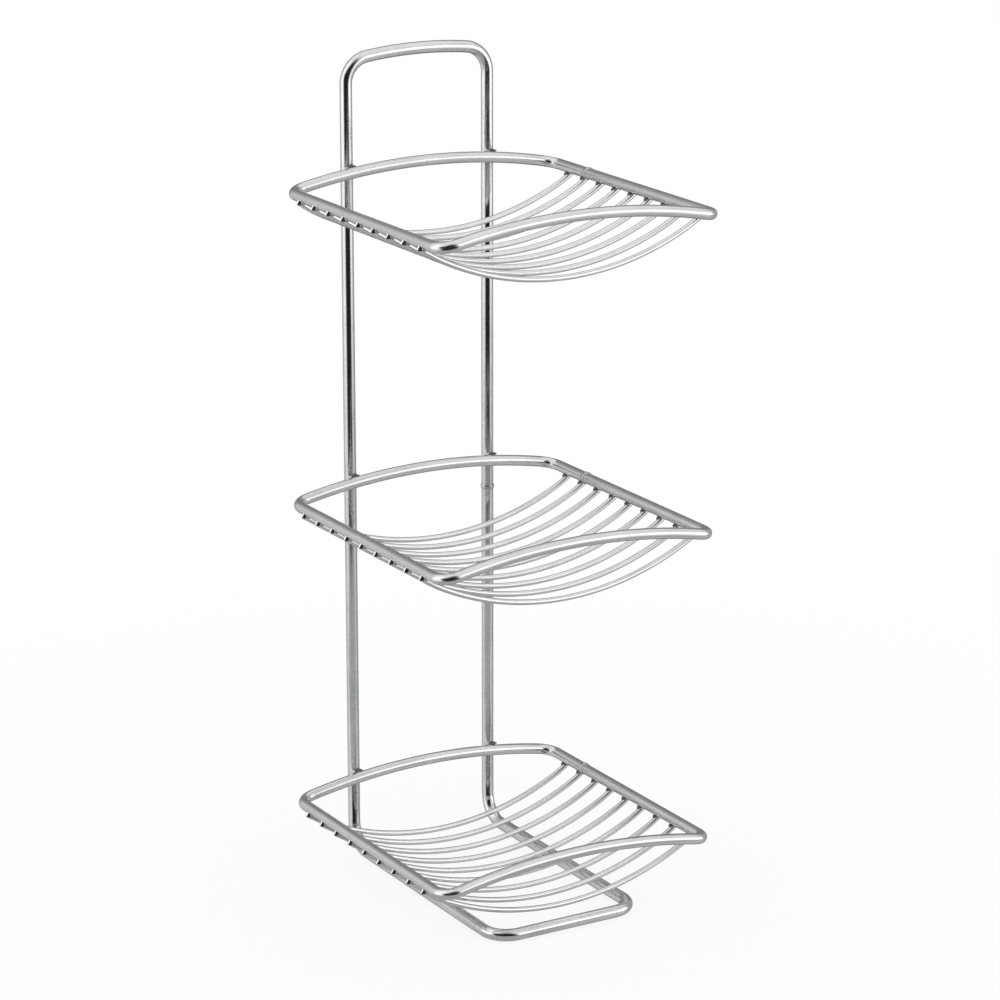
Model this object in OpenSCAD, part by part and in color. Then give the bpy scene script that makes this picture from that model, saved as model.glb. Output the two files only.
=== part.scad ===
// Free-standing three-shelf toilet roll storage holder, welded from bent round wire.
// X runs left to right, Y from the front to the back, Z up. The origin is on the floor,
// at the middle of the overall width and of the overall depth.

/* [Shelves] */
// Width of a shelf between the centres of its side wires
shelf_w = 135; // [120:1:160]
// Depth of a shelf between the centres of its front and back wires
shelf_d = 135; // [120:1:160]
// Diameter of the rim wire of a shelf
rim_dia = 5; // [4:0.25:6]
// Bend radius of the rim corners, to the centre of the wire
rim_corner_r = 7; // [6:0.5:12]
// Rise of the front and back bars above the sides, at mid width
rim_arch = 7.5; // [4:0.5:12]
// Height of the lowest shelf's side wires above the floor
first_shelf_z = 32; // [30:1:45]
// Height from one shelf to the next
shelf_pitch = 142; // [130:1:170]

/* [Floor wires] */
// Diameter of a floor wire
wire_dia = 2.5; // [2:0.25:3]
// Distance of the first and last floor wires from the back and front bars, centre to centre
wire_inset = 14.3; // [13:0.1:16]
// Depth of the floor wires' lowest point below the side wires, centre to centre
wire_drop = 22; // [14:0.5:24]
// How far a floor wire runs on past the line where it meets the rim
wire_end = 2; // [1:0.1:2.5]
// How deep the weld pressed a floor wire into the rim
weld_sink = 0.5; // [0.3:0.1:0.8]
// Radius of the weld flash round a floor wire's end
flash_r = 1.75; // [1.6:0.05:1.9]

/* [Frame] */
// Diameter of the frame wire
frame_dia = 5.5; // [5:0.25:8]
// Distance between the centres of the two uprights
upright_span = 72; // [60:1:90]
// Height of the handle's top above the upper shelf's side wires
handle_h = 60; // [45:1:120]
// Bend radius of the two handle corners
handle_corner_r = 12; // [10:0.5:18]
// Radius of the shallow arch along the top of the handle
handle_arch_r = 210; // [120:5:400]
// Bend radius where an upright turns forward along the floor
foot_bend_r = 12; // [10:0.5:16]
// Bend radius of the two front corners of the base
base_corner_r = 11; // [8:0.5:16]
// Distance of the base's front wire behind the front wire of the shelves
base_setback = 9.5; // [6:0.5:20]
// Clearance between a shelf's back bar and the uprights that it is welded to
seat_gap = 0.05; // [0.02:0.01:0.1]

/* [Welds] */
// Radius of the weld nuggets that hold a shelf to an upright
nugget_r = 1.8; // [1.6:0.1:2.2]
// Distance of a nugget's centre to the right of its upright's centre
nugget_offset = 1.5; // [1:0.1:2]
// Clearance between weld metal and the wires that it lies on
weld_gap = 0.02; // [0.02:0.01:0.05]
// Half the width of the ring left by a butt weld
seam_half_w = 1.1; // [0.8:0.1:1.5]
// Height of that ring above the wire
seam_h = 0.45; // [0.3:0.05:0.6]
// Distance of a rim's butt weld in front of the second floor wire
rim_seam_offset = 3.2; // [3:0.1:9]
// Distance of the frame's butt weld below the middle shelf
frame_seam_drop = 8; // [6:0.5:30]

/* [Hidden] */
$fn = 48;

shelf_names = ["lower", "middle", "upper"];
wire_count = 9;
wire_pitch = (shelf_d - 2 * wire_inset) / (wire_count - 1);
half_w = shelf_w / 2;
half_d = shelf_d / 2;
rim_r = rim_dia / 2;
wire_r = wire_dia / 2;
frame_r = frame_dia / 2;
half_span = upright_span / 2;

// A bend wider than this takes finer steps, so that it stays round
long_bend_r = 60;

// Two bends meet inside a collar that is a hair wider than the wire, and each stops inside it
join_len = 0.2;
join_rise = 0.01;
function join_angle(bend_r) = join_len / 4 / bend_r * 180 / PI;

// A rim corner turns from a level side wire into a bar that starts upward at arch_slope
arch_slope = 2 * atan(rim_arch / (half_w + rim_corner_r));
arch_r = (half_w - rim_corner_r * cos(arch_slope)) / sin(arch_slope);
side_len = shelf_d - 2 * rim_corner_r;

// A floor wire is one arc that passes under both side wires and is pressed into them
wire_offset = rim_r + wire_r - weld_sink;
wire_arc_r = (pow(half_w, 2) + pow(wire_drop, 2) - pow(wire_offset, 2))
             / (2 * (wire_drop - wire_offset));
wire_centre_z = wire_arc_r - wire_drop;
wire_touch_angle = atan2(half_w, wire_centre_z);
wire_end_angle = wire_touch_angle + wire_end / wire_arc_r * 180 / PI;

// The uprights stand just behind the back bars, and the base reaches forward under the shelves.
// The depth runs from the front bars to the seam ring on the back of an upright.
overall_d = shelf_d + rim_dia + seat_gap + frame_dia + seam_h;
front_bar_y = rim_r - overall_d / 2;
shelf_y = front_bar_y + half_d;
back_bar_y = front_bar_y + shelf_d;
upright_y = back_bar_y + rim_r + frame_r + seat_gap;
base_front_y = front_bar_y + base_setback;
handle_slope = asin((half_span - handle_corner_r) / (handle_arch_r - handle_corner_r));
handle_rise = handle_corner_r * cos(handle_slope) + handle_arch_r * (1 - cos(handle_slope));
upright_top_z = shelf_z(2) + handle_h - frame_r - handle_rise;
upright_foot_z = frame_r + foot_bend_r;

// Height of a back or front bar's centre above the side wires, at a distance from mid width
function bar_rise(x) = rim_arch - arch_r + sqrt(pow(arch_r, 2) - pow(x, 2));
function shelf_z(k) = first_shelf_z + k * shelf_pitch;
function wire_y(n) = wire_pitch * ((wire_count + 1) / 2 - n);

// Colours of the bare metal
frame_colour = [0.70, 0.71, 0.72];
rim_colour = [0.76, 0.77, 0.78];
wire_colour = [0.82, 0.83, 0.84];
weld_colour = [0.52, 0.52, 0.53];

// Straight round wire along Z, from z = 0
module straight_wire(r, len) {
    cylinder(r = r, h = len);
}

// Bent round wire: an arc in the XY plane about the origin, from angle a to angle b
module bent_wire(r, bend_r, a, b) {
    rotate([0, 0, a])
        rotate_extrude(angle = b - a, $fn = bend_r > long_bend_r ? 360 : 96)
            translate([bend_r, 0])
                circle(r = r, $fn = 48);
}

// The same arc stood up in the XZ plane, with angles counted from +X towards +Z
module upright_bend(r, bend_r, a, b) {
    rotate([90, 0, 0]) bent_wire(r, bend_r, a, b);
}

// Collar at the end of an upright arc, at angle a round its centre
module upright_join(r, bend_r, a) {
    rotate([0, -a, 0])
        translate([bend_r, 0, 0])
            cylinder(r = r + join_rise, h = join_len, center = true);
}

// Frame wire, from the top down

module handle_bow() {
    color(frame_colour) translate([0, upright_y, upright_top_z]) {
        for (side = [-1, 1])
            translate([side * (half_span - handle_corner_r), 0, 0])
                mirror([side < 0 ? 1 : 0, 0, 0])
                    upright_bend(frame_r, handle_corner_r, 0,
                                 90 - handle_slope - join_angle(handle_corner_r));
        translate([0, 0, handle_rise - handle_arch_r]) {
            turn = handle_slope - join_angle(handle_arch_r);
            upright_bend(frame_r, handle_arch_r, 90 - turn, 90 + turn);
            for (side = [-1, 1])
                upright_join(frame_r, handle_arch_r, 90 + side * handle_slope);
        }
    }
}

module upright(side) {
    color(frame_colour)
        translate([side * half_span, upright_y, upright_foot_z])
            straight_wire(frame_r, upright_top_z - upright_foot_z);
}

module base_loop() {
    rail_back_y = upright_y - foot_bend_r;
    rail_front_y = base_front_y + base_corner_r;
    color(frame_colour) {
        for (side = [-1, 1]) {
            translate([side * half_span, rail_back_y, upright_foot_z])
                rotate([0, 0, 90])
                    upright_bend(frame_r, foot_bend_r, -90, 0);
            translate([side * half_span, rail_front_y, frame_r])
                rotate([-90, 0, 0])
                    straight_wire(frame_r, rail_back_y - rail_front_y);
            translate([side * (half_span - base_corner_r), rail_front_y, frame_r])
                mirror([side < 0 ? 1 : 0, 0, 0])
                    bent_wire(frame_r, base_corner_r, -90, 0);
        }
        translate([base_corner_r - half_span, base_front_y, frame_r])
            rotate([0, 90, 0])
                straight_wire(frame_r, upright_span - 2 * base_corner_r);
    }
}

// Shelf rims

module rim_side(side) {
    translate([side * half_w, -side_len / 2, 0])
        rotate([-90, 0, 0])
            straight_wire(rim_r, side_len);
}

module rim_corner() {
    translate([half_w, side_len / 2, 0])
        rotate([0, arch_slope, 0])
            translate([-rim_corner_r, 0, 0])
                bent_wire(rim_r, rim_corner_r, 0, 90 - join_angle(rim_corner_r));
}

module rim_bar(y) {
    turn = arch_slope - join_angle(arch_r);
    translate([0, y, rim_arch - arch_r]) {
        upright_bend(rim_r, arch_r, 90 - turn, 90 + turn);
        for (side = [-1, 1])
            upright_join(rim_r, arch_r, 90 + side * arch_slope);
    }
}

module rim(k) {
    color(rim_colour) translate([0, shelf_y, shelf_z(k)]) {
        for (side = [-1, 1]) {
            rim_side(side);
            rim_bar(side * half_d);
            for (face = [0, 1])
                mirror([side < 0 ? 1 : 0, 0, 0])
                    mirror([0, face, 0])
                        rim_corner();
        }
    }
}

// Floor wires, numbered from the back

module wire_arc(end_angle) {
    translate([0, 0, wire_centre_z])
        upright_bend(wire_r, wire_arc_r, -90 - end_angle, -90 + end_angle);
}

module floor_wire(k, n) {
    color(wire_colour) translate([0, shelf_y, shelf_z(k)])
        difference() {
            translate([0, wire_y(n), 0]) wire_arc(wire_end_angle);
            for (side = [-1, 1]) rim_side(side);
        }
}

// Welds

// Flash squeezed out round the joint of one floor wire and the rim
module wire_flash(side, n) {
    depth = wire_r - weld_sink / 2;
    translate([side * wire_arc_r * sin(wire_touch_angle), wire_y(n),
               wire_centre_z - wire_arc_r * cos(wire_touch_angle)])
        rotate([0, -side * wire_touch_angle, 0])
            difference() {
                translate([0, 0, depth]) sphere(r = flash_r, $fn = 120);
                rotate([0, 90, 0])
                    cylinder(r = wire_r + weld_gap, h = 4 * flash_r, center = true, $fn = 120);
                translate([0, 0, wire_offset])
                    rotate([90, 0, 0])
                        cylinder(r = rim_r + weld_gap, h = 4 * flash_r, center = true, $fn = 120);
            }
}

module wire_welds(k, side) {
    color(weld_colour) translate([0, shelf_y, shelf_z(k)])
        for (n = [1 : wire_count]) wire_flash(side, n);
}

// One nugget in the corner where a back bar passes an upright, above it or below it
module nugget(side, level) {
    reach = nugget_r / 4;
    bar_slope = asin(side * half_span / arch_r);
    difference() {
        translate([nugget_offset, back_bar_y - upright_y + rim_r, level * (rim_r + reach)])
            sphere(r = nugget_r, $fn = 120);
        translate([0, back_bar_y - upright_y, 0])
            rotate([0, 90 + bar_slope, 0])
                cylinder(r = rim_r + weld_gap, h = 8 * nugget_r, center = true, $fn = 120);
        cylinder(r = frame_r + weld_gap, h = 8 * nugget_r, center = true, $fn = 120);
    }
}

module back_welds(k) {
    color(weld_colour)
        for (side = [-1, 1], level = [-1, 1])
            translate([side * half_span, upright_y, shelf_z(k) + bar_rise(half_span)])
                nugget(side, level);
}

// Ring left by a butt weld, round a wire that runs along Z
module seam_ring(r) {
    rotate_extrude($fn = 96)
        polygon([[r, -seam_half_w], [r + seam_h, -seam_half_w / 3],
                 [r + seam_h, seam_half_w / 3], [r, seam_half_w]]);
}

module rim_seam(k) {
    color(weld_colour)
        translate([half_w, shelf_y + wire_y(2) - rim_seam_offset, shelf_z(k)])
            rotate([-90, 0, 0])
                seam_ring(rim_r);
}

module frame_seam() {
    color(weld_colour)
        translate([half_span, upright_y, shelf_z(1) - frame_seam_drop])
            seam_ring(frame_r);
}

handle_bow();
upright(-1);  // left_upright
upright(1);  // right_upright
base_loop();
frame_seam();
for (k = [0 : 2]) {
    shelf = shelf_names[k];
    rim(k);
    rim_seam(k);
    for (n = [1 : wire_count])
        floor_wire(k, n);
    wire_welds(k, -1);
    wire_welds(k, 1);
    back_welds(k);
}
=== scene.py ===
import math

import bmesh
import bpy
import numpy as np
from mathutils import Matrix, Vector, noise


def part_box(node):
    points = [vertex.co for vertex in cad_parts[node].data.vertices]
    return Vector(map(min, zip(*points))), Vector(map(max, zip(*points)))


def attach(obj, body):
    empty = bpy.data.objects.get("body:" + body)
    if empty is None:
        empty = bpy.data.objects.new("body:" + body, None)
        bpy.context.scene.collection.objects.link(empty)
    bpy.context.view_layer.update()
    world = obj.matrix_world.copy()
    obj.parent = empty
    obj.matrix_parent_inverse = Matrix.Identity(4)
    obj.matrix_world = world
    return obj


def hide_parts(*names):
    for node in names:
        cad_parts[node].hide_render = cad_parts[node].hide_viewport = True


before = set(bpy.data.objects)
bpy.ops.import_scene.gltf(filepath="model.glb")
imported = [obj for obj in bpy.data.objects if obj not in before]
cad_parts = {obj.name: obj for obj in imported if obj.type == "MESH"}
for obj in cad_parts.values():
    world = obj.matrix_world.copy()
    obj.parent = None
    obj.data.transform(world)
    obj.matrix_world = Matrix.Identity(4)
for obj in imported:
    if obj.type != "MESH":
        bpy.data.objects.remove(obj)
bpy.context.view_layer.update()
print("frame loaded:", len(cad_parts), "CAD nodes")

mm = 0.001


def linked(name, data):
    thing = bpy.data.objects.new(name, data)
    bpy.context.scene.collection.objects.link(thing)
    return thing


# Camera, at the photograph's viewing angle

cameraSet = {
    "place": (-0.804984, -1.363598, 0.647618),
    "yaw": 30.602,  # degrees from +Y towards +X
    "pitch": 16.385,  # degrees below the horizon
    "lens": 134.39,
    "sensor": 36,
}


def makeCamera(look):
    data = bpy.data.cameras.new("camera")
    data.sensor_fit = "HORIZONTAL"
    data.sensor_width = look["sensor"]
    data.lens = look["lens"]
    camera = linked("camera", data)
    yaw, pitch = math.radians(look["yaw"]), math.radians(look["pitch"])
    level = Vector((math.sin(yaw), math.cos(yaw), 0)) * math.cos(pitch)
    ahead = level - Vector((0, 0, math.sin(pitch)))
    camera.location = look["place"]
    camera.rotation_mode = "QUATERNION"
    camera.rotation_quaternion = ahead.to_track_quat("-Z", "Y")
    bpy.context.scene.camera = camera


makeCamera(cameraSet)
print("camera set")


# Shader nodes written as expressions

class Value:
    def __init__(self, shader, socket):
        self.shader = shader
        self.socket = socket

    def maths(self, operation, first, second=0.0):
        return self.shader.add("ShaderNodeMath", {"operation": operation}, {0: first, 1: second})

    def degrees(self, operation):
        return self.maths(operation, self) * (180 / math.pi)

    def __add__(self, other):
        return self.maths("ADD", self, other)

    def __sub__(self, other):
        return self.maths("SUBTRACT", self, other)

    def __rsub__(self, other):
        return self.maths("SUBTRACT", other, self)

    def __mul__(self, other):
        return self.maths("MULTIPLY", self, other)

    def __truediv__(self, other):
        return self.maths("DIVIDE", self, other)

    def __pow__(self, other):
        return self.maths("POWER", self, other)

    def __abs__(self):
        return self.maths("ABSOLUTE", self)

    __radd__ = __add__
    __rmul__ = __mul__


class Shader:
    def __init__(self, tree):
        self.tree = tree
        tree.nodes.clear()

    def add(self, kind, settings=None, inputs=None, output=0):
        node = self.tree.nodes.new(kind)
        for key, value in (settings or {}).items():
            setattr(node, key, value)
        for key, value in (inputs or {}).items():
            if isinstance(value, Value):
                self.tree.links.new(value.socket, node.inputs[key])
            else:
                node.inputs[key].default_value = value
        return Value(self, node.outputs[output]) if node.outputs else None

    def stretch(self, vector, scale):
        return self.add("ShaderNodeVectorMath", {"operation": "MULTIPLY"}, {0: vector, 1: scale})

    def unit(self, vector):
        return self.add("ShaderNodeVectorMath", {"operation": "NORMALIZE"}, {0: vector})

    def dot(self, vector, direction):
        inputs = {0: vector, 1: direction}
        return self.add("ShaderNodeVectorMath", {"operation": "DOT_PRODUCT"}, inputs, 1)

    def blend(self, factor, first, second):
        return self.add("ShaderNodeMix", {"data_type": "RGBA"}, {0: factor, 6: first, 7: second}, 2)

    def speckle(self, vector, scale, detail=2.0, rough=0.5):
        inputs = {"Vector": vector, "Scale": scale, "Detail": detail, "Roughness": rough}
        return self.add("ShaderNodeTexNoise", {}, inputs)

    def between(self, value, low, high):
        inputs = {"Value": value, "From Min": low, "From Max": high}
        return self.add("ShaderNodeMapRange", {"interpolation_type": "SMOOTHSTEP"}, inputs)

    def mixed(self, factor, first, second):
        return self.add("ShaderNodeMixShader", {}, {0: factor, 1: first, 2: second})

    def glow(self, strength):
        return self.add("ShaderNodeEmission", {}, {"Color": grey(1.0), "Strength": strength})

    def show(self, surface):
        self.add("ShaderNodeOutputMaterial", {}, {"Surface": surface})


def grey(level, warm=0.0):
    return (level * (1 + warm), level, level * (1 - warm), 1.0)


def newMaterial(name):
    material = bpy.data.materials.new(name)
    material.use_nodes = True
    return material, Shader(material.node_tree)


# Plated wire

# The burnt colour is laid on at a weld and scale is the share of oxide there: on the wires weld oxide, on
# the weld beads painted shade. Swing is how far the roughness varies.
frameMetalSet = {"bright": grey(0.78), "dull": grey(0.66, -0.01), "burntAndShade": grey(0.60, 0.01), "scale": 0.1,
                 "roughness": 0.16, "swing": 0.06, "mottle": 700, "streak": (35, 2600, 2600), "bump": 0.02}
rimMetalSet = {"bright": grey(0.77), "dull": grey(0.68, -0.01), "burntAndShade": grey(0.62, 0.01), "scale": 0.1,
               "roughness": 0.21, "swing": 0.07, "mottle": 900, "streak": (45, 2400, 2400), "bump": 0.05}
floorMetalSet = {"bright": grey(0.82), "dull": grey(0.72, -0.01), "burntAndShade": grey(0.80, 0.01), "scale": 0.02,
                 "roughness": 0.17, "swing": 0.06, "mottle": 900, "streak": (60, 3600, 3600), "bump": 0.03}
# The weld metal's near-black burnt colour and large scale are painted shade for the dark gaps and nooks
# round the beads, partly weld oxide.
weldMetalSet = {"bright": grey(0.68), "dull": grey(0.44, 0.02), "burntAndShade": grey(0.02, 0.02), "scale": 0.9,
                "roughness": 0.30, "swing": 0.16, "mottle": 1600, "streak": (1500, 1500, 1500), "bump": 0.3}

# What the four metals share
grainSet = {
    "patch": 60.0,
    "scratch": (160, 900, 900),
    "nick": (0.70, 0.76),
    "cloud": (0.35, 0.65),
    "mottleShare": 0.55,
    "burntAndShadeShare": 0.9,
    "scaleRough": 0.3,
    "nickRough": 0.06,
    "relief": {"drawn": 0.5, "mottle": 0.6, "nick": 0.4, "weld": 0.8},
    "distance": 0.3 * mm,
}


def platedMetal(name, look, grain):
    material, shader = newMaterial(name)
    # wirePoint is how far along the wire a point is, and where it is in the section
    wirePoint = shader.add("ShaderNodeAttribute", {"attribute_name": "wirePoint"}, {}, 1)
    # This mask is 1 at a weld and falls to 0 a few millimetres from it; it lays weld oxide on the wires and
    # painted shade on the weld beads
    heatAndShade = shader.add("ShaderNodeAttribute", {"attribute_name": "weldHeatAndShade"}, {}, 2)
    drawn = shader.speckle(shader.stretch(wirePoint, look["streak"]), 1.0, detail=3.0)
    mottle = shader.speckle(wirePoint, look["mottle"], detail=3.0, rough=0.6)
    patch = shader.speckle(wirePoint, grain["patch"])
    scratch = shader.speckle(shader.stretch(wirePoint, grain["scratch"]), 1.0, detail=1.0)
    nick = shader.between(scratch, *grain["nick"])
    cloud = mottle * grain["mottleShare"] + patch * (1 - grain["mottleShare"])
    colour = shader.blend(shader.between(cloud, *grain["cloud"]), look["dull"], look["bright"])
    # On the weld beads this blend paints them near-black, painted shade for the gaps round them; on the
    # wires it is weld oxide.
    colour = shader.blend(heatAndShade * grain["burntAndShadeShare"], colour, look["burntAndShade"])
    rough = (mottle - 0.5) * look["swing"] + (drawn - 0.5) * look["swing"] + look["roughness"]
    rough = rough + heatAndShade * look["scale"] * grain["scaleRough"] + nick * grain["nickRough"]
    relief = grain["relief"]
    height = drawn * relief["drawn"] + mottle * relief["mottle"] - nick * relief["nick"]
    height = height + heatAndShade * mottle * relief["weld"]
    bump = {"Strength": look["bump"], "Distance": grain["distance"], "Height": height}
    normal = shader.add("ShaderNodeBump", {}, bump)
    bare = 1 - heatAndShade * look["scale"]
    surface = {"Base Color": colour, "Roughness": rough, "Metallic": bare, "Normal": normal}
    shader.show(shader.add("ShaderNodeBsdfPrincipled", {}, surface))
    return material


frameMetal = platedMetal("frameMetal", frameMetalSet, grainSet)
rimMetal = platedMetal("rimMetal", rimMetalSet, grainSet)
floorMetal = platedMetal("floorMetal", floorMetalSet, grainSet)
weldMetal = platedMetal("weldMetal", weldMetalSet, grainSet)
print("metals made")


# Sizes, from the frame

shelfNames = ("upper", "middle", "lower")
sideSigns = {"left": -1, "right": 1}
wireNumbers = range(1, 10)
shelfSet = {"rimR": 2.5 * mm, "cornerR": 7 * mm, "weldSink": 0.5 * mm}


def middleOf(node):
    low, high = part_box(node)
    return (low + high) / 2


uprightLow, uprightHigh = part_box("right_upright")
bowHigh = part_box("handle_bow")[1]
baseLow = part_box("base_loop")[0]
frameR = (uprightHigh.x - uprightLow.x) / 2
uprightX = middleOf("right_upright").x
uprightY = middleOf("right_upright").y
frameSeamAt = Vector((uprightX, uprightY, middleOf("frame_seam").z))


def shelfSizes(shelf, look):
    rimLow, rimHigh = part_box(shelf + "_rim")
    wireLow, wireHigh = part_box(shelf + "_wire_1")
    rimR, cornerR = look["rimR"], look["cornerR"]
    halfW = (rimHigh.x - rimLow.x) / 2 - rimR
    wireR = (wireHigh.y - wireLow.y) / 2
    z = rimLow.z + rimR
    arch = rimHigh.z - rimLow.z - 2 * rimR
    slope = 2 * math.atan(arch / (halfW + cornerR))
    drop = z - wireLow.z - wireR
    offset = rimR + wireR - look["weldSink"]
    floorR = (halfW ** 2 + drop ** 2 - offset ** 2) / (2 * (drop - offset))
    return {
        "rimR": rimR,
        "cornerR": cornerR,
        "weldSink": look["weldSink"],
        "halfW": halfW,
        "halfD": (rimHigh.y - rimLow.y) / 2 - rimR,
        "y": (rimHigh.y + rimLow.y) / 2,
        "z": z,
        "arch": arch,
        "slope": slope,
        "archR": (halfW - cornerR * math.cos(slope)) / math.sin(slope),
        "wireR": wireR,
        "wireReach": wireHigh.x,
        "wireYs": [middleOf(f"{shelf}_wire_{n}").y for n in wireNumbers],
        "drop": drop,
        "floorR": floorR,
        "touch": math.atan2(halfW, floorR - drop),
        "seamY": middleOf(shelf + "_rim_seam").y,
    }


shelves = {shelf: shelfSizes(shelf, shelfSet) for shelf in shelfNames}


def barRise(sizes, x):
    return sizes["arch"] - sizes["archR"] + math.sqrt(sizes["archR"] ** 2 - x ** 2)


def rimSeamAt(sizes):
    return Vector((sizes["halfW"], sizes["seamY"], sizes["z"]))


def wireJoint(sizes, sign, y):
    low = sizes["rimR"] - sizes["weldSink"] / 2
    return Vector((sign * (sizes["halfW"] + low * math.sin(sizes["touch"])), y,
                   sizes["z"] - low * math.cos(sizes["touch"])))


def backJoints():
    joints = []
    for sizes in shelves.values():
        y = sizes["y"] + sizes["halfD"] + sizes["rimR"]
        z = sizes["z"] + barRise(sizes, uprightX)
        joints += [Vector((-uprightX, y, z)), Vector((uprightX, y, z))]
    return joints


# Routes of the wires

def straight(start, end, step):
    count = max(1, math.ceil((end - start).length / step))
    return [start.lerp(end, i / count) for i in range(count)]


def bend(centre, first, second, radius, fromAngle, toAngle, step):
    count = max(6, math.ceil(abs(toAngle - fromAngle) * radius / step))
    turns = [fromAngle + (toAngle - fromAngle) * i / count for i in range(count)]
    return [centre + radius * (math.cos(a) * first + math.sin(a) * second) for a in turns]


alongX, alongY, alongZ = Vector((1, 0, 0)), Vector((0, 1, 0)), Vector((0, 0, 1))
quarter = math.pi / 2


def frameRoute(look):
    x, y, corner, archR = uprightX, uprightY, look["handleCornerR"], look["handleArchR"]
    slope = math.asin((x - corner) / (archR - corner))
    rise = corner * math.cos(slope) + archR * (1 - math.cos(slope))
    topZ = bowHigh.z - frameR - rise
    archZ = topZ + rise - archR
    footR, baseR = uprightLow.z - frameR, look["baseCornerR"]
    backY, frontY = y - footR, baseLow.y + frameR + baseR
    innerX, noseY, footZ = x - baseR, frontY - baseR, footR + frameR
    step, fine = look["step"], look["step"] / 2
    route = straight(frameSeamAt, Vector((x, y, topZ)), step)
    route += bend(Vector((x - corner, y, topZ)), alongX, alongZ, corner, 0, quarter - slope, fine)
    route += bend(Vector((0, y, archZ)), alongX, alongZ, archR, quarter - slope, quarter + slope, step)
    route += bend(Vector((corner - x, y, topZ)), alongX, alongZ, corner, quarter + slope, math.pi, fine)
    route += straight(Vector((-x, y, topZ)), Vector((-x, y, footZ)), step)
    route += bend(Vector((-x, backY, footZ)), alongY, alongZ, footR, 0, -quarter, fine)
    route += straight(Vector((-x, backY, frameR)), Vector((-x, frontY, frameR)), step)
    route += bend(Vector((-innerX, frontY, frameR)), alongX, alongY, baseR, math.pi, 3 * quarter, fine)
    route += straight(Vector((-innerX, noseY, frameR)), Vector((innerX, noseY, frameR)), step)
    route += bend(Vector((innerX, frontY, frameR)), alongX, alongY, baseR, -quarter, 0, fine)
    route += straight(Vector((x, frontY, frameR)), Vector((x, backY, frameR)), step)
    route += bend(Vector((x, backY, footZ)), alongY, alongZ, footR, -quarter, 0, fine)
    route += straight(Vector((x, y, footZ)), frameSeamAt, step)
    return route


def rimRoute(sizes, step):
    halfW, halfD, corner = sizes["halfW"], sizes["halfD"], sizes["cornerR"]
    slope, archR = sizes["slope"], sizes["archR"]
    sideY = halfD - corner
    middle = Vector((0, sizes["y"], sizes["z"]))
    seam = sizes["seamY"] - sizes["y"]

    def cornerTurn(sideX, sideYSign, fromAngle, toAngle):
        tilted = Vector((sideX * math.cos(slope), 0, -math.sin(slope)))
        centre = middle + Vector((sideX * halfW, sideYSign * sideY, 0)) - corner * tilted
        return bend(centre, tilted, sideYSign * alongY, corner, fromAngle, toAngle, step / 2)

    def bar(sideYSign, fromAngle, toAngle):
        centre = middle + Vector((0, sideYSign * halfD, sizes["arch"] - archR))
        return bend(centre, alongX, alongZ, archR, fromAngle, toAngle, step)

    def side(x, fromY, toY):
        return straight(middle + Vector((x, fromY, 0)), middle + Vector((x, toY, 0)), step)

    route = side(halfW, seam, sideY)
    route += cornerTurn(1, 1, 0, quarter)
    route += bar(1, quarter - slope, quarter + slope)
    route += cornerTurn(-1, 1, quarter, 0)
    route += side(-halfW, sideY, -sideY)
    route += cornerTurn(-1, -1, 0, quarter)
    route += bar(-1, quarter + slope, quarter - slope)
    route += cornerTurn(1, -1, quarter, 0)
    route += side(halfW, -sideY, seam)
    return route


# Meshes

# Weld mask: weld oxide on the wires, and on the weld beads painted shade for the gaps round them.
def heatAndShadeAt(places, welds):
    total = np.zeros(len(places))
    for place, reach in welds:
        distance = np.linalg.norm(places - np.array(place), axis=1)
        total = np.maximum(total, np.exp(-(distance / reach) ** 2))
    return total


def finishPiece(name, mesh, material, nodes, heatAndShade=None):
    piece = linked(name, mesh)
    mesh.materials.append(material)
    mesh.polygons.foreach_set("use_smooth", [True] * len(mesh.polygons))
    places = np.array([v.co for v in mesh.vertices], float)
    heatAndShadeLayer = mesh.attributes.new("weldHeatAndShade", "FLOAT", "POINT")
    heatAndShadeLayer.data.foreach_set("value", heatAndShadeAt(places, heatAndShade or []).astype(np.float32))
    if "wirePoint" not in mesh.attributes:
        points = mesh.attributes.new("wirePoint", "FLOAT_VECTOR", "POINT")
        points.data.foreach_set("vector", places.astype(np.float32).ravel())
    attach(piece, "root")
    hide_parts(*nodes)


def meshFrom(name, work):
    mesh = bpy.data.meshes.new(name)
    work.to_mesh(mesh)
    work.free()
    return mesh


def faceOutward(work, mesh):
    bmesh.ops.recalc_face_normals(work, faces=work.faces)
    work.to_mesh(mesh)
    work.free()


def carriedSections(route, closed):
    # The section is carried along the wire without twisting, and a closed wire's ends agree
    count = len(route)
    ahead = []
    for i in range(count):
        before = route[(i - 1) % count] if closed or i else route[0]
        after = route[(i + 1) % count] if closed or i < count - 1 else route[-1]
        ahead.append((after - before).normalized())
    across = [alongY.cross(ahead[0]) if abs(ahead[0].y) < 0.9 else alongX.copy()]
    across[0] = (across[0] - across[0].dot(ahead[0]) * ahead[0]).normalized()
    for i in range(1, count + (1 if closed else 0)):
        turned = ahead[i - 1].rotation_difference(ahead[i % count])
        across.append(turned @ across[-1])
    spin = 0.0
    if closed:
        last = across.pop()
        spin = math.atan2(ahead[0].dot(last.cross(across[0])), last.dot(across[0]))
    for i in range(count):
        across[i] = Matrix.Rotation(spin * i / count, 3, ahead[i]) @ across[i]
    return [(side, along.cross(side)) for along, side in zip(ahead, across)]


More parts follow.
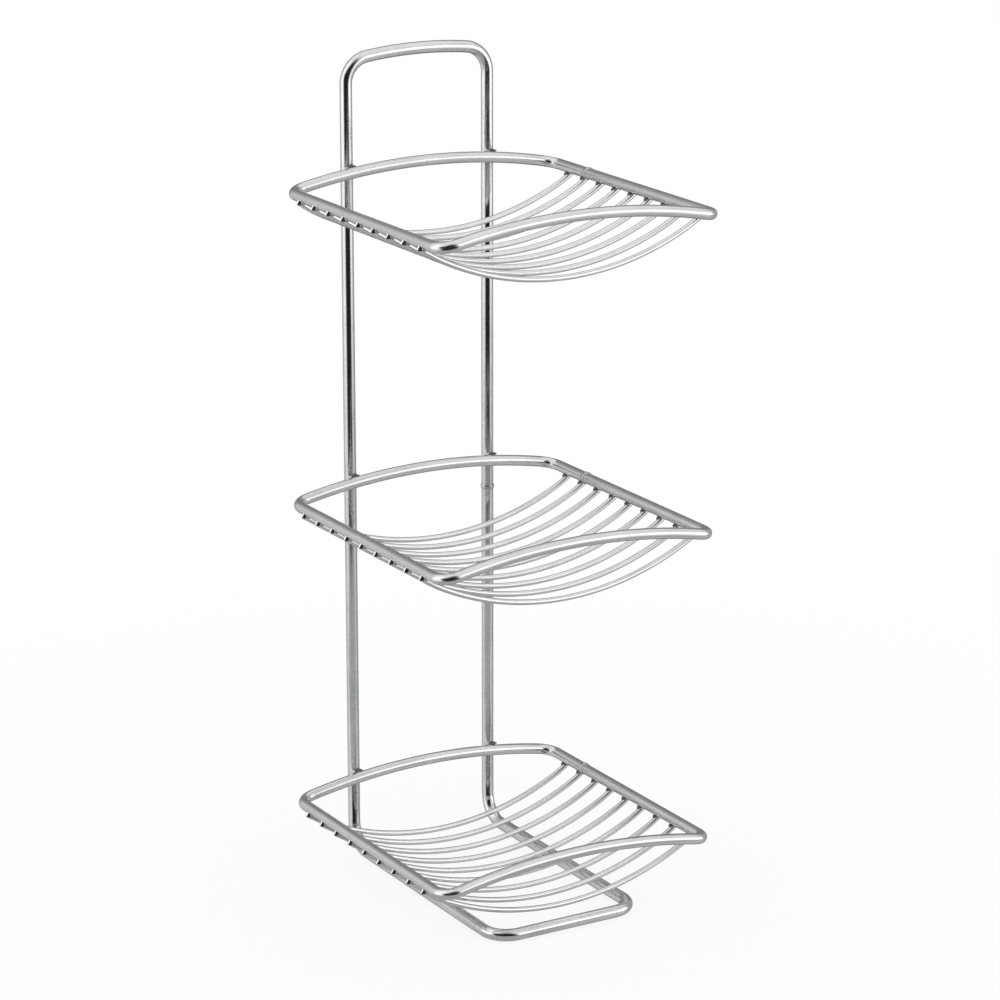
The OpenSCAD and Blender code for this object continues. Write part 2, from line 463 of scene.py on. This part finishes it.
def wireMesh(name, route, radius, sides, closed):
    angles = [2 * math.pi * j / sides for j in range(sides)]
    verts, points, along = [], [], 0.0
    for i, (place, (across, up)) in enumerate(zip(route, carriedSections(route, closed))):
        along += (place - route[i - 1]).length if i else 0.0
        for a in angles:
            verts.append(place + radius * (math.cos(a) * across + math.sin(a) * up))
            points.append((along, radius * math.cos(a), radius * math.sin(a)))
    count = len(route)
    faces = []
    for i in range(count if closed else count - 1):
        for j in range(sides):
            a, b = i * sides + j, i * sides + (j + 1) % sides
            c, d = ((i + 1) % count) * sides + (j + 1) % sides, ((i + 1) % count) * sides + j
            faces.append((a, b, c, d))
    mesh = bpy.data.meshes.new(name)
    mesh.from_pydata(verts, [], faces)
    stored = mesh.attributes.new("wirePoint", "FLOAT_VECTOR", "POINT")
    stored.data.foreach_set("vector", np.array(points, np.float32).ravel())
    return mesh


# Frame: one wire from the butt weld on the right upright, over the handle and round the base

frameSet = {"handleCornerR": 12 * mm, "handleArchR": 210 * mm, "baseCornerR": 11 * mm, "step": 2 * mm,
            "sides": 40, "jointHeat": 4 * mm, "seamHeat": 4.5 * mm}


def makeFrame(look):
    mesh = wireMesh("frameWire", frameRoute(look), frameR, look["sides"], True)
    welds = [(joint, look["jointHeat"]) for joint in backJoints()] + [(frameSeamAt, look["seamHeat"])]
    finishPiece("frameWire", mesh, frameMetal,
                ["handle_bow", "left_upright", "right_upright", "base_loop"], welds)


makeFrame(frameSet)
print("frame wire made")


# Shelf rims

rimSet = {"step": 1 * mm, "sides": 36, "wireHeat": 2.2 * mm, "jointHeat": 3 * mm, "seamHeat": 3.6 * mm}


def makeRim(shelf, look):
    sizes = shelves[shelf]
    mesh = wireMesh(shelf + "Rim", rimRoute(sizes, look["step"]), sizes["rimR"], look["sides"], True)
    welds = [(wireJoint(sizes, sign, y), look["wireHeat"]) for sign in (-1, 1) for y in sizes["wireYs"]]
    welds += [(joint, look["jointHeat"]) for joint in backJoints()]
    welds.append((rimSeamAt(sizes), look["seamHeat"]))
    finishPiece(shelf + "Rim", mesh, rimMetal, [shelf + "_rim"], welds)


for shelf in shelfNames:
    makeRim(shelf, rimSet)
print("rims made")


# Floor wires, with sheared ends

floorSet = {
    "sides": 32,
    "step": 2 * mm,
    "endStep": 0.4 * mm,
    "endLength": 4 * mm,
    "endShare": 0.51,  # of the wire's radius, from its farthest point to its middle
    "cutBack": -0.25 * mm,
    "pressed": 0.35 * mm,  # how far the tips rise into the rim
    "pressedEnds": 3,  # end lengths over which they do
    "ridge": 0.30 * mm,
    "bevel": math.radians(26),
    "bevelWidth": 0.55 * mm,
    "cut": math.radians(54),
    "drawnIn": 0.06,  # share by which the cut's edge is rounded off
    "faceRings": (0.92, 0.84, 0.76, 0.68, 0.6, 0.52, 0.44, 0.36, 0.28, 0.2, 0.12, 0.05),
    "grainShift": 0.37,  # so that each wire shows its own stretch of the drawn grain
    "jointHeat": 2.4 * mm,
}


def bendAngles(first, last, step):
    count = max(1, math.ceil((last - first) / step))
    return [first + (last - first) * i / count for i in range(count)]


def floorRoute(sizes, y, look):
    floorR = sizes["floorR"]
    reach = sizes["wireReach"] - sizes["wireR"] * look["endShare"]
    end = math.asin(reach / floorR) - look["cutBack"] / floorR
    centre = Vector((0, y, sizes["z"] - sizes["drop"] + floorR))
    tip = look["endLength"] / floorR
    spots = bendAngles(-end, -end + tip, look["endStep"] / floorR)
    spots += bendAngles(-end + tip, end - tip, look["step"] / floorR)
    spots += bendAngles(end - tip, end, look["endStep"] / floorR) + [end]
    route = []
    for a in spots:
        near = max(0.0, 1 - (end - abs(a)) / (look["pressedEnds"] * tip))
        radius = floorR - look["pressed"] * near ** 2 * (3 - 2 * near)
        route.append(centre + radius * (math.sin(a) * alongX - math.cos(a) * alongZ))
    return route


def cutDepth(across, look):
    # How far behind the tip the cut lies, at a distance across the wire from its middle
    away = abs(across - look["ridge"])
    bevel = min(away, look["bevelWidth"])
    return bevel * math.tan(look["bevel"]) + (away - bevel) * math.tan(look["cut"])


def closeEnds(mesh, look):
    # The cutters left each end as a wedge with a narrow bevel beside its ridge
    sides = look["sides"]
    work = bmesh.new()
    work.from_mesh(mesh)
    layer = work.verts.layers.float_vector["wirePoint"]
    spots = list(work.verts)
    loops = [spots[i:i + sides] for i in range(0, len(spots), sides)]
    middles = [sum((v.co for v in loop), Vector()) / sides for loop in loops]
    for order in (1, -1):
        tipLoops, tipMiddles = loops[::order], middles[::order]
        tip = tipMiddles[0]
        inward = (tipMiddles[1] - tip).normalized()
        for v in tipLoops[0]:
            v.co = tip + (v.co - tip) * (1 - look["drawnIn"])
        rings = [tipLoops[0]]
        for share in look["faceRings"]:
            loop = []
            for v in tipLoops[0]:
                spot = work.verts.new(tip + (v.co - tip) * share)
                spot[layer] = v[layer]
                loop.append(spot)
            rings.append(loop)
        for first, second in zip(rings, rings[1:]):
            for j in range(sides):
                k = (j + 1) % sides
                work.faces.new((first[j], first[k], second[k], second[j]))
        work.faces.new(rings[-1])
        for loop in rings:
            for v in loop:
                v.co += inward * cutDepth(v.co.y - tip.y, look)
        for loop, middle in zip(tipLoops[1:], tipMiddles[1:]):
            behind = (middle - tip).length
            if behind < look["endLength"]:
                for v in loop:
                    v.co += inward * cutDepth(v.co.y - tip.y, look) * (1 - behind / look["endLength"])
    faceOutward(work, mesh)


def makeFloorWire(shelf, number, look):
    sizes = shelves[shelf]
    y = sizes["wireYs"][number - 1]
    name = f"{shelf}Wire{number}"
    mesh = wireMesh(name, floorRoute(sizes, y, look), sizes["wireR"], look["sides"], False)
    closeEnds(mesh, look)
    points = np.array([a.vector for a in mesh.attributes["wirePoint"].data], np.float32)
    points[:, 0] += number * look["grainShift"]
    mesh.attributes["wirePoint"].data.foreach_set("vector", points.ravel())
    welds = [(wireJoint(sizes, sign, y), look["jointHeat"]) for sign in (-1, 1)]
    finishPiece(name, mesh, floorMetal, [f"{shelf}_wire_{number}"], welds)


for shelf in shelfNames:
    for number in wireNumbers:
        makeFloorWire(shelf, number, floorSet)
print("floor wires made")


# Welds

lumpSet = {
    "subdivisions": 4,
    "coarse": 1.6,
    "coarseSeed": 3.1,
    "fine": 4.5,
    "fineSeed": 2.3,
    "fineShare": 0.4,
    "nameSeed": 0.7,
}


def blob(work, basis, sizes, seed, look):
    start = len(work.verts)
    bmesh.ops.create_icosphere(work, subdivisions=lumpSet["subdivisions"], radius=1.0)
    work.verts.ensure_lookup_table()
    coarseAt = Vector((seed * lumpSet["coarseSeed"], 0, seed))
    fineAt = Vector((0, seed * lumpSet["fineSeed"], 0))
    for v in work.verts[start:]:
        swell = 1 + look["lumps"] * noise.noise(v.co * lumpSet["coarse"] + coarseAt)
        swell += look["lumps"] * lumpSet["fineShare"] * noise.noise(v.co * lumpSet["fine"] + fineAt)
        v.co.z *= 1 - look["taper"] * abs(v.co.x)
        v.co = basis @ Vector(component * size * swell for component, size in zip(v.co, sizes))


def buildBlobs(name, spots, nodes, look, heatAndShade):
    work = bmesh.new()
    for seed, (basis, sizes) in enumerate(spots):
        blob(work, basis, sizes, seed + len(name) * lumpSet["nameSeed"], look)
    finishPiece(name, meshFrom(name, work), weldMetal, nodes, heatAndShade)


def placed(first, second, third, origin):
    turn = Matrix((first, second, third)).transposed().to_4x4()
    return Matrix.Translation(origin) @ turn


# Weld beads under the rims; their weld mask paints them near-black, painted shade for the dark gap between
# rim and wire.
flashSet = {
    "left": {
        "size": (1.1 * mm, 1 * mm, 0.85 * mm),
        "inward": 0.1 * mm,
        "behind": -1.15 * mm,
        "reach": 1 * mm,
    },
    "right": {
        "size": (1.7 * mm, 1.3 * mm, 1.3 * mm),
        "inward": 2.1 * mm,
        "behind": 0.5 * mm,
        "reach": 5 * mm,
    },
    "taper": 0.0,
    "lumps": 0.16,
}


def makeFlash(shelf, sideName, look):
    sizes, sign = shelves[shelf], sideSigns[sideName]
    turn = sizes["touch"] * sign
    along = Vector((math.cos(turn), 0, math.sin(turn)))
    normal = alongY.cross(along)
    bead = look[sideName]
    spots, heatAndShade = [], []
    for y in sizes["wireYs"]:
        origin = wireJoint(sizes, sign, y + bead["behind"]) - sign * bead["inward"] * along
        spots.append((placed(along, alongY, normal, origin), bead["size"]))
        heatAndShade.append((origin, bead["reach"]))
    buildBlobs(f"{shelf}{sideName.title()}Welds", spots, [f"{shelf}_{sideName}_welds"], look, heatAndShade)


# Nuggets in the nook behind each upright; their weld mask paints them dark, painted shade for the nook.
nuggetSet = {
    "size": (2.0 * mm, 1.1 * mm, 0.9 * mm),
    "across": 1.15 * mm,
    "behind": 0.4 * mm,
    "reach": 4 * mm,
    "taper": 0.75,
    "lumps": 0.12,
    "below": 0.75,  # size of the lower nuggets, as a share of the upper ones
}


def makeNuggets(shelf, look):
    sizes = shelves[shelf]
    y = sizes["y"] + sizes["halfD"] + sizes["rimR"] - look["behind"]
    z = sizes["z"] + barRise(sizes, uprightX)
    spots, heatAndShade = [], []
    for sign in (-1, 1):
        for level, share in ((-1, look["below"]), (1, 1.0)):
            origin = Vector((sign * uprightX + look["across"], y, z + level * sizes["rimR"]))
            spots.append((placed(alongX, alongY, alongZ, origin), [share * size for size in look["size"]]))
            heatAndShade.append((origin, look["reach"]))
    buildBlobs(shelf + "BackWelds", spots, [shelf + "_back_welds"], look, heatAndShade)


for shelf in shelfNames:
    for sideName in sideSigns:
        makeFlash(shelf, sideName, flashSet)
    makeNuggets(shelf, nuggetSet)
print("weld beads made")


seamSet = {
    "halfWidth": 1.1 * mm,
    "height": 0.45 * mm,
    "depth": 0.3 * mm,
    "footShare": 0.8,
    "crown": 2.4,
    "sides": 72,
    "profile": 12,
    "lumps": 0.3,
    "uneven": 0.08,
    "lumpScale": (2, 1.2),  # round the wire and across the seam
    "seed": 900,
}


def makeSeam(name, node, origin, axis, radius, look):
    first = alongX if abs(axis.x) < 0.5 else alongY
    second = axis.cross(first)
    roundScale, acrossScale = look["lumpScale"]
    foot = axis * look["halfWidth"] * look["footShare"]
    verts = []
    for j in range(look["sides"]):
        a = 2 * math.pi * j / look["sides"]
        out = math.cos(a) * first + math.sin(a) * second
        for i in range(look["profile"] + 1):
            t = -1 + 2 * i / look["profile"]
            depth = t * acrossScale + radius * look["seed"]
            lump = noise.noise(Vector((math.cos(a) * roundScale, math.sin(a) * roundScale, depth)))
            crown = look["height"] * (1 - abs(t) ** look["crown"])
            rise = crown * (1 - look["lumps"] * (0.5 + 0.5 * lump))
            spread = 1 + look["uneven"] * lump
            verts.append(origin + axis * t * look["halfWidth"] * spread + out * (radius + rise))
        verts.append(origin + foot + out * (radius - look["depth"]))
        verts.append(origin - foot + out * (radius - look["depth"]))
    row = look["profile"] + 3
    faces = []
    for j in range(look["sides"]):
        k = (j + 1) % look["sides"]
        for i in range(row):
            n = (i + 1) % row
            faces.append((j * row + i, k * row + i, k * row + n, j * row + n))
    mesh = bpy.data.meshes.new(name)
    mesh.from_pydata(verts, [], faces)
    work = bmesh.new()
    work.from_mesh(mesh)
    faceOutward(work, mesh)
    finishPiece(name, mesh, weldMetal, [node])


makeSeam("frameSeam", "frame_seam", frameSeamAt, alongZ, frameR, seamSet)
for shelf in shelfNames:
    sizes = shelves[shelf]
    makeSeam(shelf + "RimSeam", shelf + "_rim_seam", rimSeamAt(sizes), alongY, sizes["rimR"], seamSet)
print("butt welds made")


# Studio, with a surround that only the metal mirrors

# Angles are in degrees. Azimuth 0 is straight in front of the rack and 90 is to its right. Width is how far
# from its azimuth a panel starts and ends to fade, height its lower and upper edge, and soft their blur.
surroundSet = {
    "radius": 3.0,
    "subdivisions": 4,
    "level": 0.80,
    "panels": [
        # ceiling
        {"azimuth": 0, "width": (180, 180), "height": (44, 90), "soft": (12, 12), "level": 0.97},
        # table
        {"azimuth": 0, "width": (180, 180), "height": (-90, -30), "soft": (14, 14), "level": 0.57},
        # grey back, on the right
        {"azimuth": 150, "width": (10, 70), "height": (-90, 46), "soft": (10, 8), "level": 0.24},
        # grey side, on the right
        {"azimuth": 88, "width": (14, 42), "height": (-30, 30), "soft": (10, 10), "level": 0.42},
        # back, on the left
        {"azimuth": -150, "width": (12, 30), "height": (-90, 4), "soft": (12, 12), "level": 0.64},
        # left softbox
        {"azimuth": -103, "width": (12, 34), "height": (-9, 60), "soft": (5, 5), "level": 1.36},
        # right softbox
        {"azimuth": 40, "width": (18, 42), "height": (-7, 28), "soft": (3, 5), "level": 1.60},
        # dark table edge, below the camera
        {"azimuth": -11, "width": (28, 41), "height": (-55, 2), "soft": (8, 6), "level": 0.05},
        # dark doorway, left of the camera
        {"azimuth": -46, "width": (26, 40), "height": (6, 36), "soft": (9, 12), "level": 0.02},
    ],
    # unlit oval gap round the camera
    "gap": {"azimuth": -27, "height": -11, "halfWidth": 42, "halfHeight": 71, "soft": (0.5, 1.5),
            "level": 0.015},
}


def towards(azimuth):
    turn = math.radians(azimuth)
    return (math.sin(turn), -math.cos(turn), 0)


def flatMesh(name, half, z):
    mesh = bpy.data.meshes.new(name)
    corners = [(-half, -half, z), (half, -half, z), (half, half, z), (-half, half, z)]
    mesh.from_pydata(corners, [], [(0, 1, 2, 3)])
    return mesh


def showInMetalOnly(thing, material):
    thing.visible_camera = False
    thing.visible_diffuse = False
    thing.visible_shadow = False
    material.cycles.emission_sampling = "NONE"


def makeSurround(look):
    work = bmesh.new()
    bmesh.ops.create_icosphere(work, subdivisions=look["subdivisions"], radius=look["radius"])
    mesh = meshFrom("studioSurround", work)
    surround = linked("studioSurround", mesh)
    material, shader = newMaterial("studioSurround")
    showInMetalOnly(surround, material)
    place = shader.add("ShaderNodeNewGeometry")
    bearing = shader.unit(shader.stretch(place, (1, 1, 0)))
    height = shader.add("ShaderNodeSeparateXYZ", {}, {0: shader.unit(place)}, 2)
    rise = height.degrees("ARCSINE")
    light = shader.add("ShaderNodeValue")
    light.socket.default_value = look["level"]
    for panel in look["panels"]:
        inner, outer = (math.cos(math.radians(turn)) for turn in panel["width"])
        (low, high), (lowSoft, highSoft) = panel["height"], panel["soft"]
        mask = shader.between(rise, low - lowSoft, low + lowSoft)
        mask = mask * (1 - shader.between(rise, high - highSoft, high + highSoft))
        if outer < inner:
            mask = mask * shader.between(shader.dot(bearing, towards(panel["azimuth"])), outer, inner)
        light = light + mask * (panel["level"] - light)
    gap = look["gap"]
    aside = shader.dot(bearing, towards(gap["azimuth"])).degrees("ARCCOSINE")
    oval = (aside / gap["halfWidth"]) ** 2 + ((rise - gap["height"]) / gap["halfHeight"]) ** 2
    light = light + (1 - shader.between(oval, *gap["soft"])) * (gap["level"] - light)
    shader.show(shader.glow(light))
    mesh.materials.append(material)


# The near part of the table, seen only in the metal, hides the dark of the room from the low wires
tableSet = {
    "half": 0.6,
    "height": -0.5 * mm,
    "azimuth": -30,
    "start": (0.04, 0.07),  # where it fades in, on the way from the rack to the camera
    "edge": (0.36, 0.46),  # where it fades out
    "side": (0.28, 0.42),  # where it fades out to either side
    "level": 0.45,
}


def makeTable(look):
    mesh = flatMesh("studioTable", look["half"], look["height"])
    table = linked("studioTable", mesh)
    material, shader = newMaterial("studioTable")
    showInMetalOnly(table, material)
    place = shader.add("ShaderNodeNewGeometry")
    forward = shader.dot(place, towards(look["azimuth"]))
    spread = abs(shader.dot(place, towards(look["azimuth"] + 90)))
    mask = shader.between(forward, *look["start"]) * (1 - shader.between(forward, *look["edge"]))
    mask = mask * (1 - shader.between(spread, *look["side"]))
    clear = shader.add("ShaderNodeBsdfTransparent")
    shader.show(shader.mixed(mask, clear, shader.glow(look["level"])))
    mesh.materials.append(material)


def makeWorld():
    world = bpy.data.worlds.new("studio")
    bpy.context.scene.world = world
    world.use_nodes = True
    world.cycles.sampling_method = "NONE"
    shader = Shader(world.node_tree)
    backdrop = shader.add("ShaderNodeBackground", {}, {"Color": grey(1.0), "Strength": 1.0})
    shader.add("ShaderNodeOutputWorld", {}, {"Surface": backdrop})


# Pale paper that keeps the shadow near the rack and fades to white away from it
paperSet = {
    "half": 6.0,
    "colour": grey(0.90),
    "seen": 0.86,  # share of white over the paper, near the rack
    "clear": 0.10,  # where the fade to all white starts
    "gone": 0.60,  # where it ends
}


def makeFloor(look):
    mesh = flatMesh("studioFloor", look["half"], 0)
    floor = linked("studioFloor", mesh)
    floor.visible_glossy = False
    material, shader = newMaterial("studioFloor")
    place = shader.add("ShaderNodeNewGeometry")
    away = shader.add("ShaderNodeVectorMath", {"operation": "LENGTH"}, {0: place}, 1)
    fade = shader.between(away, look["clear"], look["gone"])
    paper = shader.add("ShaderNodeBsdfDiffuse", {}, {"Color": look["colour"]})
    camera = shader.add("ShaderNodeLightPath")
    white = camera * (fade * (1 - look["seen"]) + look["seen"])
    shader.show(shader.mixed(white, paper, shader.glow(1.0)))
    mesh.materials.append(material)


makeWorld()
makeSurround(surroundSet)
makeTable(tableSet)
makeFloor(paperSet)
bpy.context.scene.view_settings.view_transform = "Standard"
print("studio set")
